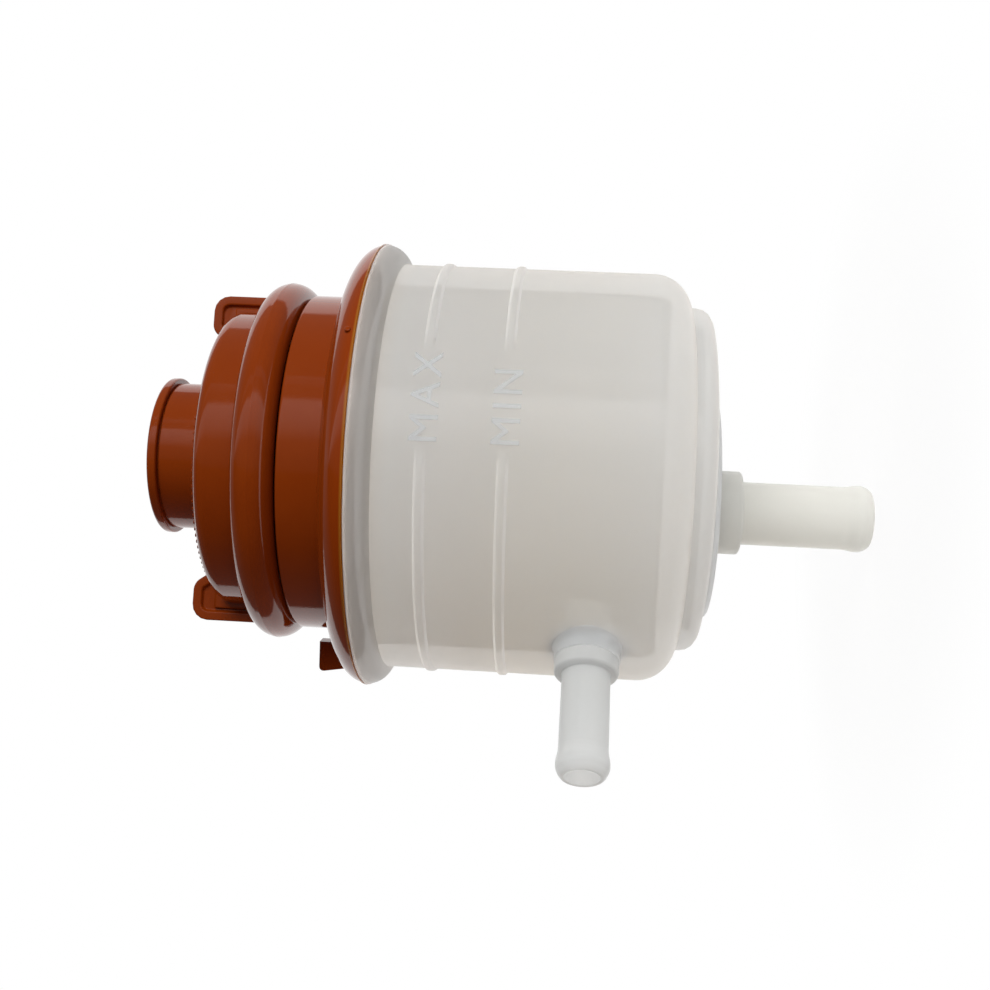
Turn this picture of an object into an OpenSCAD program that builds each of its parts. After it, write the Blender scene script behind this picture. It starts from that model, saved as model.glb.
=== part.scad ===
// Power steering reservoir: a translucent welded tank with level rings, a coloured upper housing,
// a twist-off cap with a breather knob, and an outlet filter held down by a spring.
// Millimetres. +Z runs along the tank's axis towards the cap. The origin is on the axis, in the
// plane where the bracket's ring carries the underside of the tank's weld flange.

/* [Tank] */
// Outer diameter of the tank's wall
body_d = 102; // [90:0.5:120]
// Height of the wall, from the weld flange down to the base step
body_h = 71; // [66:0.5:110]
// Wall of the tank moulding
tank_wall = 2.5; // [2:0.1:3]
// Outer radius between the wall and the base
body_corner_r = 9.3; // [6:0.1:11]
// Diameter of the raised base ring
base_ring_d = 86; // [74:0.5:88]
// Height of the raised base ring
base_ring_h = 5.2; // [4:0.1:8]
// Edge radius of the raised base ring
base_ring_corner_r = 3.8; // [2:0.1:4]
// Diameter of the outlet pad under the base
pad_d = 57.2; // [40:0.2:60]
// Height of the outlet pad
pad_h = 2.4; // [1.5:0.1:5]
// Distance of the outlet pad's centre from the axis
pad_offset = 6.1; // [0:0.1:9]
// Edge radius of the outlet pad
pad_corner_r = 1.2; // [0.4:0.1:1.4]

/* [Level rings] */
// Height of the upper level ring below the flange
upper_level_drop = 11; // [6:0.5:20]
// Height of the lower level ring below the flange
lower_level_drop = 28.9; // [24:0.5:36]
// Width of a level ring
level_ring_w = 2.6; // [1:0.1:5]
// How far a level ring stands out of the wall
level_ring_proud = 0.9; // [0.4:0.1:1.5]
// Where the break for the level words starts, in degrees around the axis
level_gap_start = 271; // [180:1:300]
// Width of the break for the level words, in degrees
level_gap_width = 32; // [10:1:60]

/* [Weld flange] */
// How far the weld flange stands out of the tank's wall
flange_overhang = 4.6; // [3:0.1:7]
// Height of the tank's half of the flange
tank_flange_h = 4.8; // [4.2:0.1:8]
// Height of the housing's half of the flange
housing_flange_h = 7.7; // [6:0.1:12]
// Height of the weld flash on each half
flash_h = 0.5; // [0.3:0.1:1]
// How far the weld flash stands out of the flange
flash_proud = 0.4; // [0.2:0.1:0.8]

/* [Upper housing] */
// Diameter of the neck
neck_d = 84.8; // [82:0.2:88]
// Height of the neck
neck_h = 9.9; // [7:0.1:20]
// Wall of the housing
housing_wall = 2.5; // [2:0.1:3]
// Edge radius at the neck's top
neck_edge_r = 1.2; // [0.4:0.1:2]
// Height of the filler spout above the neck
spout_h = 16.4; // [16:0.1:22]
// Wall of the filler spout
spout_wall = 3; // [2.6:0.1:4]
// Depth of the seat for the strainer's rim
strainer_seat_h = 1.5; // [1:0.1:3]
// Width of the seat for the strainer's rim
strainer_seat_w = 1.5; // [1:0.1:1.8]
// Height of the locating lug above the flange's seam
lug_h = 16.2; // [10:0.1:17]
// Distance from the flange's edge in to the lug's outer face
lug_inset = 2.2; // [1.6:0.1:5]
// Length of the lug along the radius
lug_l = 8; // [5:0.1:9]
// Thickness of the lug
lug_t = 5; // [3:0.1:10]
// Where the lug stands, in degrees around the axis
lug_angle = 174; // [90:1:270]

/* [Cap] */
// Diameter of the cap's skirt
skirt_d = 75; // [74:0.2:76]
// Wall of the cap
cap_wall = 2.5; // [2:0.1:3]
// Edge radius of the cap's face
face_edge_r = 3.3; // [1:0.1:4]
// Diameter of the grip bead around the cap's rim
grip_bead_d = 90.6; // [88:0.2:96]
// Radius of the grip bead's section
grip_bead_r = 5.1; // [4:0.1:5.4]
// Gap between the cap's rim and the neck
rim_gap = 1; // [0.6:0.1:2]
// Diameter of the breather knob
knob_d = 37.4; // [30:0.2:44]
// Height of the breather knob
knob_h = 13.6; // [12:0.1:25]
// Span across the two finger ears
ear_span = 84; // [80:0.2:88]
// Height of the ears above the cap's face
ear_rise = 7.1; // [3:0.1:14]
// Length of each ear along the cap's radius
ear_l = 15; // [10:0.5:17]
// Thickness of an ear
ear_t = 6; // [3:0.1:10]
// Corner radius of an ear
ear_corner_r = 4; // [1:0.1:6]
// Where the first ear stands, in degrees around the axis
ear_angle = 5; // [-30:1:30]
// Diameter of the lid on the knob
lid_d = 40; // [39:0.2:48]
// Height of the lid's rim
lid_h = 2.4; // [1.6:0.1:5]
// Thickness of the cap's gasket
gasket_t = 2.5; // [1.5:0.1:4]

/* [Twist lock] */
// Number of lock lugs
lock_count = 3; // [2:1:4]
// How far a lock ramp stands out of the spout
lock_depth = 1.8; // [1.2:0.1:2.4]
// Width of a ramp on the spout, in degrees
ramp_width = 60; // [40:4:64]
// Width of a catch in the cap, in degrees
catch_width = 14; // [8:1:20]
// Height of a ramp and of a catch
lock_h = 2.5; // [1.5:0.1:3]
// Rise of the cap in one whole turn
lock_lead = 12; // [6:0.5:14]

/* [Outlet nipple] */
// Distance of the outlet from the axis
outlet_offset = 7.8; // [0:0.1:10]
// Diameter of the outlet tube
outlet_tube_d = 15.8; // [14:0.1:18]
// Bore of the outlet tube
outlet_bore_d = 12; // [8:0.1:12.6]
// Diameter of the outlet's collar
outlet_collar_d = 21; // [20:0.1:26]
// Height of the outlet's collar
outlet_collar_h = 7.7; // [3:0.1:12]
// Length of the outlet tube past the collar
outlet_tube_l = 32.2; // [24:0.1:60]
// How far the hose bead stands out of the outlet tube
outlet_bead_proud = 0.45; // [0.2:0.05:1.5]
// Diameter of the spigot that is welded into the pad
outlet_spigot_d = 19.2; // [18.4:0.1:19.6]
// Height of the filter's seat above the tank floor
filter_seat_h = 5.2; // [4:0.1:8]
// Diameter of the stub inside the filter
stub_d = 15.2; // [14:0.1:17]
// Length of the stub inside the filter
stub_l = 6.5; // [5:0.1:12]

/* [Return nipple] */
// Where the return nipple stands, in degrees around the axis
return_angle = 217; // [190:1:250]
// Height of the return nipple's axis below the flange
return_drop = 49.3; // [42:0.1:54]
// Diameter of the boss on the tank's wall
return_boss_d = 15.4; // [13.6:0.1:20]
// How far the boss stands out of the tank's wall
return_boss_l = 3.1; // [2:0.1:8]
// Diameter of the return nipple's collar
return_collar_d = 14.8; // [13:0.1:18]
// Height of the return nipple's collar
return_collar_h = 3.7; // [2:0.1:8]
// Diameter of the return tube
return_tube_d = 11.1; // [10:0.1:12.4]
// Bore of the return tube
return_bore_d = 7.8; // [5:0.1:8.4]
// Length of the return tube past the collar
return_tube_l = 25; // [20:0.1:50]
// How far the hose bead stands out of the return tube
return_bead_proud = 0.45; // [0.2:0.05:1.5]
// Diameter of the spigot that is welded into the wall
return_spigot_d = 12; // [11.2:0.1:12.8]
// How far the spigot stands into the tank
return_spigot_inside = 5; // [3:0.1:6]

/* [Hose beads] */
// Length of a bead's cylindrical land
bead_land = 1.6; // [1:0.1:4]
// Length of a bead's slope towards the hose
bead_slope = 2.2; // [1:0.1:5]
// Length of the lead-in at a nipple's end
bead_nose = 2.2; // [1:0.1:4]
// Length of the rounded lip at a nipple's end
nose_lip = 0.7; // [0.4:0.1:0.9]
// How far that lip draws in
nose_drop = 0.9; // [0.4:0.1:1.2]

/* [Filter] */
// Outer diameter of the pleated paper
media_d = 52; // [44:0.5:54]
// Height of the pleated paper
media_h = 48; // [30:0.5:49]
// Number of pleats
pleat_count = 30; // [16:1:40]
// Depth of a pleat
pleat_depth = 9; // [6:0.1:9]
// Radial thickness of a fold
fold_t = 3.8; // [2:0.1:4]
// Outer diameter of the perforated core
core_d = 25; // [24.4:0.1:25.4]
// Wall of the perforated core
core_wall = 1.4; // [1:0.1:1.6]
// Thickness of the filter's end plates
plate_t = 1.8; // [1.2:0.1:2.4]
// Height of the rim around the end plates
plate_rim_h = 3; // [2.4:0.1:5]
// Wall of that rim
plate_rim_wall = 1; // [0.6:0.1:1.4]
// Outer diameter of the rubber grommet
grommet_d = 20; // [18.6:0.1:21]
// Thickness of the grommet's flange
grommet_flange_t = 1.5; // [1:0.1:3]
// How far the filter can lift off its seat
filter_lift = 3; // [1:0.1:4]
// Wire diameter of the filter's spring
spring_wire = 1.4; // [1:0.1:2]
// Mean diameter of the spring
spring_d = 15; // [12:0.1:18]
// Number of turns of the spring
spring_turns = 5; // [4:0.5:6]

/* [Baffle and strainer] */
// Thickness of the baffle plate
baffle_t = 1.8; // [1:0.1:2.4]
// Width of the ledge under the baffle's rim
baffle_ledge_w = 1; // [0.8:0.1:1.4]
// Number of windows in the baffle
baffle_windows = 8; // [4:1:12]
// Width of the bars between the windows
baffle_bar_w = 3; // [2:0.1:6]
// Length of the strainer basket below its rim
basket_l = 28; // [18:0.5:29]
// Number of ribs of the strainer basket
basket_ribs = 6; // [4:1:10]
// Thickness of the strainer's ribs and rings
basket_t = 1.4; // [1:0.1:2]
// Thickness of the strainer's mesh
mesh_t = 0.5; // [0.3:0.1:0.8]
// Width of a gap in the mesh
mesh_gap = 3; // [2:0.1:4]

/* [Breather] */
// Thickness of the partition in the knob
partition_t = 2; // [1.2:0.1:3]
// Height of the partition above the cap's face
partition_rise = 1.5; // [0.5:0.1:3]
// Thickness of the felt
felt_t = 4.5; // [2:0.1:5]
// Diameter of the breather valve's disc
valve_d = 22; // [18:0.2:26]
// Diameter of the splash plate
splash_d = 46; // [40:0.5:50]
// Thickness of the splash plate
splash_t = 1.2; // [0.8:0.1:1.6]
// Diameter of the ring magnet
magnet_d = 32; // [26:0.5:40]
// Thickness of the ring magnet
magnet_t = 3; // [2:0.1:3.6]

/* [Hidden] */
$fn = 96;
// Clearance of a welded or pressed joint
fit_clear = 0.05;
// Clearance of a loose joint between round faces
loose_clear = 0.3;
// Gap between a seal or spring and its seat
seal_gap = 0.2;
// Overlap that lets a cut pass a face
cut = 1;
// Steps of a quarter arc in a turned outline
arc_steps = 8;

body_r = body_d / 2;
inner_r = body_r - tank_wall;
// Where the wall's own seam lies: inside the break of the level rings
wall_seam_angle = level_gap_start + level_gap_width * 3 / 4;
// Extra radius of the return boss at the tank's axis
boss_draft = 0.5;
flange_r = body_r + flange_overhang;
neck_r = neck_d / 2;
neck_inner_r = neck_r - housing_wall;
skirt_r = skirt_d / 2;
skirt_inner_r = skirt_r - cap_wall;
// Gap between the spout's lock ramps and the cap's skirt
lock_clear = 0.6;
spout_r = skirt_inner_r - lock_clear - lock_depth;
spout_inner_r = spout_r - spout_wall;
strainer_seat_r = spout_inner_r + strainer_seat_w;
baffle_ledge_r = inner_r + baffle_ledge_w;
baffle_r = baffle_ledge_r - loose_clear;
// Width of the housing's rim that holds the baffle down
baffle_hold_w = 1.7;

seam_z = tank_flange_h;
neck_base_z = seam_z + housing_flange_h;
neck_top_z = neck_base_z + neck_h;
spout_top_z = neck_top_z + spout_h;
gasket_z = spout_top_z + seal_gap;
ceiling_z = gasket_z + gasket_t;
face_z = ceiling_z + cap_wall;
cap_rim_z = neck_top_z + rim_gap;
grip_bead_z = cap_rim_z + grip_bead_r;
grip_bead_center_r = grip_bead_d / 2 - grip_bead_r;
knob_r = knob_d / 2;
knob_inner_r = knob_r - cap_wall;
knob_top_z = face_z + knob_h;
partition_z = face_z + partition_rise;
partition_top_z = partition_z + partition_t;

body_bottom_z = -body_h;
base_z = body_bottom_z - base_ring_h;
floor_z = base_z + tank_wall;
pad_z = base_z - pad_h;
outlet_collar_z = pad_z - outlet_collar_h;
outlet_end_z = outlet_collar_z - outlet_tube_l;
filter_seat_z = floor_z + filter_seat_h;
stub_top_z = filter_seat_z + stub_l;

filter_r = media_d / 2 + loose_clear + plate_rim_wall;
base_plate_z = filter_seat_z + seal_gap + grommet_flange_t;
media_z = base_plate_z + plate_t;
top_plate_z = media_z + media_h;
filter_top_z = top_plate_z + plate_t;
baffle_z = seam_z - seal_gap - baffle_t;
spring_seat_gap = 0.1;
spring_z = filter_top_z + spring_seat_gap + spring_wire / 2;
spring_top_z = baffle_z - spring_seat_gap - spring_wire / 2;
// Sides of the spring's wire, its sections in one turn, and its level turns at each end
spring_sides = 8;
spring_rings = 20;
spring_flat = 0.5;

return_seat = body_r + return_boss_l;
return_inner_end = inner_r - return_spigot_inside;
return_tip = return_seat + return_collar_h + return_tube_l;
// Edge chamfer of the nipples' collars and of the stub
collar_edge = 0.8;

basket_r = spout_inner_r - 2 * loose_clear;
basket_z = spout_top_z - strainer_seat_h - basket_l;

// Blocks of one lock ramp, the slit between them, the stop's width and the first ramp, in degrees
ramp_steps = 4;
ramp_slit = 2;
stop_width = 4;
ramp_start = 12;
ramp_step = ramp_width / ramp_steps;
// Height of a ramp's low end below the gasket's seat
ramp_drop = 10;
ramp_z = ceiling_z - ramp_drop;
// How far a catch stands past the ramp's stop, in degrees, and its gap to the spout
catch_lag = 2;
catch_clear = 0.4;
lock_gap = lock_lead * ramp_step / 360 + loose_clear;

// The rib that centres the gasket: its gap to the spout's bore, its width, and how far it ends
// above the gasket's underside
gasket_rib_inset = 0.7;
gasket_rib_w = 1.5;
gasket_rib_short = 0.6;
gasket_rib_r = spout_inner_r - gasket_rib_inset;
rib_drop = gasket_t - gasket_rib_short;
// The hollow between the cap's rim and its skirt
rim_hollow_rise = 2.5;
rim_hollow_wall = 0.5;
rim_inner_r = grip_bead_center_r + rim_hollow_wall;
// How far the skirt ends above the rim
skirt_short = 1.6;
skirt_bottom_z = cap_rim_z + skirt_short;
valve_stem_r = 1.5;

// Points of an arc from angle a0 to a1 around (cx, cy), with radii rx and ry
function arc(cx, cy, rx, ry, a0, a1, n = arc_steps) = [
    for (i = [0 : n])
        let (a = a0 + (a1 - a0) * i / n)
        [cx + rx * cos(a), cy + ry * sin(a)]
];

module ring(r_out, r_in, z, h) {
    translate([0, 0, z])
        difference() {
            cylinder(r = r_out, h = h);
            translate([0, 0, -cut])
                cylinder(r = r_in, h = h + 2 * cut);
        }
}

// A block that follows the circle, from radius r_in to r_out, a0 to a0 + width degrees
module sector_block(r_in, r_out, z, h, a0, width) {
    rotate([0, 0, a0])
        rotate_extrude(angle = width)
            translate([r_in, z])
                square([r_out - r_in, h]);
}

// A turned hose nipple's outline along its axis, from the collar outwards: tube, bead, nose
function nipple_points(tube_r, proud, len) = [
    [tube_r, 0],
    [tube_r, len - bead_nose - bead_land - bead_slope],
    [tube_r + proud, len - bead_nose - bead_land],
    [tube_r + proud, len - bead_nose],
    [tube_r - nose_drop / 4, len - nose_lip],
    [tube_r - nose_drop, len]
];

// Moves what it holds onto the return nipple's axis, with +Z pointing away from the tank
module on_return_axis() {
    rotate([0, 0, return_angle])
        translate([0, 0, -return_drop])
            rotate([0, 90, 0])
                children();
}

module on_outlet_axis() {
    translate([-outlet_offset, 0, 0])
        children();
}

// Tank

function tank_outer_points() = concat(
    [[0, base_z], [base_ring_d / 2 - base_ring_corner_r, base_z]],
    arc(base_ring_d / 2 - base_ring_corner_r, base_z + base_ring_corner_r,
        base_ring_corner_r, base_ring_corner_r, -90, 0),
    [[base_ring_d / 2, body_bottom_z]],
    arc(body_r - body_corner_r, body_bottom_z + body_corner_r, body_corner_r, body_corner_r,
        -acos(max(0, min(1, (base_ring_d / 2 - body_r + body_corner_r) / body_corner_r))), 0),
    arc(body_r, seam_z, flange_overhang, tank_flange_h, -90, 0),
    [[0, seam_z]]
);

function tank_inner_points() = concat(
    [[0, floor_z], [base_ring_d / 2 - tank_wall - base_ring_corner_r / 2, floor_z]],
    arc(base_ring_d / 2 - tank_wall - base_ring_corner_r / 2, floor_z + base_ring_corner_r / 2,
        base_ring_corner_r / 2, base_ring_corner_r / 2, -90, 0, 4),
    [[base_ring_d / 2 - tank_wall, body_bottom_z + tank_wall]],
    arc(body_r - body_corner_r, body_bottom_z + body_corner_r,
        body_corner_r - tank_wall, body_corner_r - tank_wall, -90, 0),
    [
        [inner_r, baffle_z],
        [baffle_ledge_r, baffle_z],
        [baffle_ledge_r, seam_z + cut],
        [0, seam_z + cut]
    ]
);

module level_ring(drop) {
    half = level_ring_w / 2;
    top = level_ring_w / 4;
    rotate([0, 0, level_gap_start + level_gap_width])
        rotate_extrude(angle = 360 - level_gap_width)
            translate([body_r, -drop])
                polygon([
                    [-tank_wall / 2, -half],
                    [level_ring_proud / 3, -half],
                    [level_ring_proud, -top],
                    [level_ring_proud, top],
                    [level_ring_proud / 3, half],
                    [-tank_wall / 2, half]
                ]);
}

module outlet_pad() {
    translate([-pad_offset, 0, pad_z])
        rotate_extrude()
            polygon(concat(
                [[0, 0]],
                arc(pad_d / 2 - pad_corner_r, pad_corner_r, pad_corner_r, pad_corner_r, -90, 0, 4),
                [[pad_d / 2, pad_h + tank_wall / 2], [0, pad_h + tank_wall / 2]]
            ));
}

module return_boss() {
    on_return_axis()
        cylinder(r1 = return_boss_d / 2 + boss_draft, r2 = return_boss_d / 2, h = return_seat);
}

module tank_shell() {
    color("gainsboro")
        difference() {
            union() {
                rotate([0, 0, wall_seam_angle])
                    rotate_extrude()
                        polygon(tank_outer_points());
                ring(flange_r + flash_proud, flange_r - cut, seam_z - flash_h, flash_h);
                level_ring(upper_level_drop);
                level_ring(lower_level_drop);
                outlet_pad();
                return_boss();
            }
            rotate_extrude()
                polygon(tank_inner_points());
            on_outlet_axis()
                translate([0, 0, pad_z - cut])
                    cylinder(r = outlet_spigot_d / 2 + fit_clear, h = floor_z - pad_z + 2 * cut);
            on_return_axis()
                cylinder(r = return_spigot_d / 2 + fit_clear, h = return_seat + cut);
        }
}

// Upper housing

function housing_outer_points() = concat(
    [[0, seam_z]],
    arc(neck_r, seam_z, flange_r - neck_r, housing_flange_h, 0, 90, 12),
    arc(neck_r - neck_edge_r, neck_top_z - neck_edge_r, neck_edge_r, neck_edge_r, 0, 90, 4),
    [
        [spout_r, neck_top_z],
        [spout_r, spout_top_z],
        [0, spout_top_z]
    ]
);

function housing_inner_points() = concat(
    [[0, seam_z - cut], [baffle_r - baffle_hold_w, seam_z - cut]],
    arc(neck_inner_r, seam_z, baffle_r - baffle_hold_w - neck_inner_r,
        housing_flange_h - housing_wall, 0, 90),
    [
        [neck_inner_r, neck_top_z - housing_wall],
        [spout_inner_r, neck_top_z - housing_wall],
        [spout_inner_r, spout_top_z - strainer_seat_h],
        [strainer_seat_r, spout_top_z - strainer_seat_h],
        [strainer_seat_r, spout_top_z + cut],
        [0, spout_top_z + cut]
    ]
);

// A lock ramp: short level blocks, a slit apart, that climb with the lead from a stop
module lock_ramp() {
    for (i = [0 : ramp_steps - 1])
        sector_block(spout_r - cut, spout_r + lock_depth, ramp_z + lock_lead * i * ramp_step / 360,
            lock_h, i * ramp_step, ramp_step - ramp_slit);
    sector_block(spout_r - cut, spout_r + lock_depth, ramp_z - lock_h - lock_gap,
        2 * lock_h + lock_gap, -ramp_slit - stop_width, stop_width);
}

module locating_lug() {
    edge_r = 1.4;
    foot_lift = 0.5;
    foot_in = 2.4;
    rotate([0, 0, lug_angle])
        translate([flange_r - lug_inset - lug_l, lug_t / 2, seam_z])
            rotate([90, 0, 0])
                linear_extrude(lug_t)
                    polygon(concat(
                        [[0, foot_lift], [lug_l - foot_in, foot_lift]],
                        arc(lug_l - edge_r, lug_h - edge_r, edge_r, edge_r, 0, 90, 4),
                        [[0, lug_h]]
                    ));
}

module upper_housing() {
    color("sienna")
        difference() {
            union() {
                rotate_extrude()
                    polygon(housing_outer_points());
                ring(flange_r + flash_proud, flange_r - cut, seam_z, flash_h);
                locating_lug();
                for (i = [0 : lock_count - 1])
                    rotate([0, 0, ramp_start + i * 360 / lock_count])
                        lock_ramp();
            }
            rotate_extrude()
                polygon(housing_inner_points());
        }
}

// Nipples

module suction_nipple() {
    tube_r = outlet_tube_d / 2;
    color("ivory")
        on_outlet_axis()
            difference() {
                rotate_extrude()
                    polygon(concat(
                        [
                            [0, stub_top_z],
                            [stub_d / 2 - collar_edge / 2, stub_top_z],
                            [stub_d / 2, stub_top_z - collar_edge],
                            [stub_d / 2, filter_seat_z],
                            [outlet_spigot_d / 2, filter_seat_z],
                            [outlet_spigot_d / 2, pad_z],
                            [outlet_collar_d / 2, pad_z],
                            [outlet_collar_d / 2, outlet_collar_z + collar_edge],
                            [outlet_collar_d / 2 - collar_edge, outlet_collar_z]
                        ],
                        [for (p = nipple_points(tube_r, outlet_bead_proud, outlet_tube_l))
                            [p[0], outlet_collar_z - p[1]]],
                        [[0, outlet_end_z]]
                    ));
                translate([0, 0, outlet_end_z - cut])
                    cylinder(r = outlet_bore_d / 2, h = stub_top_z - outlet_end_z + 2 * cut);
            }
}

module return_nipple() {
    tube_r = return_tube_d / 2;
    collar_top = return_seat + return_collar_h;
    color("lightsteelblue")
        on_return_axis()
            difference() {
                rotate_extrude()
                    polygon(concat(
                        [
                            [0, return_inner_end],
                            [return_spigot_d / 2, return_inner_end],
                            [return_spigot_d / 2, return_seat],
                            [return_collar_d / 2, return_seat],
                            [return_collar_d / 2, collar_top - collar_edge],
                            [return_collar_d / 2 - collar_edge, collar_top]
                        ],
                        [for (p = nipple_points(tube_r, return_bead_proud, return_tube_l))
                            [p[0], collar_top + p[1]]],
                        [[0, return_tip]]
                    ));
                translate([0, 0, return_inner_end - cut])
                    cylinder(r = return_bore_d / 2, h = return_tip - return_inner_end + 2 * cut);
            }
}

// A slotted cup on the return nipple's inner end that breaks up the stream
module return_diffuser() {
    wall = 1.4;
    cup_r = return_spigot_d / 2 + fit_clear + wall;
    slot_l = 3;
    slot_w = 4;
    cup_end = return_inner_end - slot_l - wall;
    grip_l = 3.5;
    color("whitesmoke")
        on_return_axis()
            difference() {
                translate([0, 0, cup_end])
                    cylinder(r = cup_r, h = wall + slot_l + grip_l);
                translate([0, 0, cup_end + wall])
                    cylinder(r = return_spigot_d / 2 + fit_clear, h = slot_l + grip_l + cut);
                for (a = [45 : 90 : 315])
                    rotate([0, 0, a])
                        translate([0, -slot_w / 2, cup_end + wall])
                            cube([cup_r + cut, slot_w, slot_l]);
            }
}

// Cap

function cap_outer_points() = concat(
    [[0, cap_rim_z]],
    arc(grip_bead_center_r, grip_bead_z, grip_bead_r, grip_bead_r, -90, 90, 16),
    [[skirt_r, grip_bead_z + grip_bead_r]],
    arc(skirt_r - face_edge_r, face_z - face_edge_r, face_edge_r, face_edge_r, 0, 90),
    [[0, face_z]]
);

module ear() {
    top = face_z + ear_rise;
    reach = ear_span / 2;
    inner = reach - ear_l;
    // How far the ear is sunk into the skirt and the face, and its inner side's slope
    sunk = 1;
    slope = 0.8;
    rotate([90, 0, 0])
        translate([0, 0, -ear_t / 2])
            linear_extrude(ear_t)
                polygon(concat(
                    [
                        [skirt_r - sunk, face_z - sunk],
                        [skirt_r - sunk, grip_bead_z + grip_bead_r / 2],
                        [reach, grip_bead_z + grip_bead_r / 2]
                    ],
                    arc(reach - ear_corner_r, top - ear_corner_r, ear_corner_r, ear_corner_r, 0, 90),
                    [
                        [inner + ear_rise * slope, top],
                        [inner, face_z - sunk]
                    ]
                ));
}

// A catch of the twist lock, just under the ramp's low end
module lock_catch() {
    sector_block(spout_r + catch_clear, skirt_inner_r + cap_wall / 2,
        ramp_z - lock_gap - lock_h, lock_h, catch_lag, catch_width);
}

module filler_cap() {
    vent_hole_r = 1.3;
    vent_ring_r = valve_d * 0.3;
    color("saddlebrown")
        difference() {
            union() {
                difference() {
                    union() {
                        rotate_extrude()
                            polygon(cap_outer_points());
                        for (a = [0, 180])
                            rotate([0, 0, ear_angle + a])
                                ear();
                        translate([0, 0, face_z - cut])
                            cylinder(r = knob_r, h = knob_h + cut);
                    }
                    translate([0, 0, cap_rim_z - cut])
                        cylinder(r = skirt_inner_r, h = ceiling_z - cap_rim_z + cut);
                    ring(rim_inner_r, skirt_r, cap_rim_z - cut, grip_bead_r + cut + rim_hollow_rise);
                    ring(rim_inner_r, skirt_inner_r - cut, cap_rim_z - cut,
                        skirt_bottom_z - cap_rim_z + cut);
                    translate([0, 0, ceiling_z - cut])
                        cylinder(r = knob_inner_r, h = partition_z - ceiling_z + cut);
                    translate([0, 0, partition_top_z])
                        cylinder(r = knob_inner_r, h = knob_top_z - partition_top_z + cut);
                }
                ring(gasket_rib_r, gasket_rib_r - gasket_rib_w, ceiling_z - rib_drop,
                    rib_drop + cap_wall / 2);
                for (i = [0 : lock_count - 1])
                    rotate([0, 0, ramp_start + i * 360 / lock_count])
                        lock_catch();
            }
            translate([0, 0, partition_z - cut])
                cylinder(r = valve_stem_r + fit_clear, h = partition_t + 2 * cut);
            for (a = [0 : 60 : 300])
                rotate([0, 0, a])
                    translate([vent_ring_r, 0, partition_z - cut])
                        cylinder(r = vent_hole_r, h = partition_t + 2 * cut);
        }
}

module cap_gasket() {
    color("dimgray")
        ring(skirt_inner_r - loose_clear, gasket_rib_r + loose_clear, gasket_z, gasket_t);
}

// Breather

module breather_lid() {
    groove_h = 0.3;
    groove_r = knob_r - 0.5;
    edge = 0.8;
    plug_r = knob_inner_r - fit_clear;
    plug_l = 3;
    plug_wall = 1.5;
    lid_r = lid_d / 2;
    top_z = knob_top_z + groove_h + lid_h;
    dish_r = knob_inner_r - 1;
    dish_t = 0.6;
    color("sienna")
        difference() {
            rotate_extrude()
                polygon(concat(
                    [
                        [0, knob_top_z - plug_l],
                        [plug_r, knob_top_z - plug_l],
                        [plug_r, knob_top_z],
                        [groove_r, knob_top_z],
                        [groove_r, knob_top_z + groove_h],
                        [lid_r, knob_top_z + groove_h]
                    ],
                    arc(lid_r - edge, top_z - edge, edge, edge, 0, 90, 4),
                    [
                        [dish_r, top_z],
                        [dish_r - dish_t, top_z - dish_t],
                        [0, top_z - dish_t]
                    ]
                ));
            translate([0, 0, knob_top_z - plug_l - cut])
                cylinder(r = plug_r - plug_wall, h = plug_l + cut);
        }
}

module breather_felt() {
    hole_r = valve_stem_r + 2;
    color("tan")
        ring(knob_inner_r - loose_clear, hole_r, partition_top_z, felt_t);
}

// An umbrella valve: a thin disc under the partition, on a stem that is pulled through its hole
module breather_valve() {
    rim_t = 0.7;
    hub_t = 1.6;
    head_r = valve_stem_r + 0.9;
    head_h = 2.2;
    disc_z = partition_z - seal_gap;
    color("black")
        rotate_extrude()
            polygon([
                [0, disc_z - hub_t],
                [valve_stem_r * 2, disc_z - hub_t],
                [valve_d / 2, disc_z - rim_t],
                [valve_d / 2, disc_z],
                [valve_stem_r, disc_z],
                [valve_stem_r, partition_top_z + fit_clear],
                [head_r, partition_top_z + fit_clear],
                [valve_stem_r * 0.7, partition_top_z + head_h],
                [0, partition_top_z + head_h]
            ]);
}

// A plate plugged into the knob's bore from below, which keeps splashes off the valve
module splash_plate() {
    air_gap = 1.2;
    collar_r = knob_inner_r - fit_clear;
    collar_wall = 1.2;
    collar_l = air_gap + 2;
    top = ceiling_z - air_gap;
    notch_w = 5;
    color("whitesmoke")
        difference() {
            union() {
                translate([0, 0, top - splash_t])
                    cylinder(r = splash_d / 2, h = splash_t);
                ring(collar_r, collar_r - collar_wall, top - splash_t / 2,
                    collar_l + splash_t / 2);
            }
            for (a = [0 : 60 : 120])
                rotate([0, 0, a])
                    translate([-knob_r, -notch_w / 2, top])
                        cube([2 * knob_r, notch_w, collar_l + cut]);
        }
}

// Filler strainer

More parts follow.
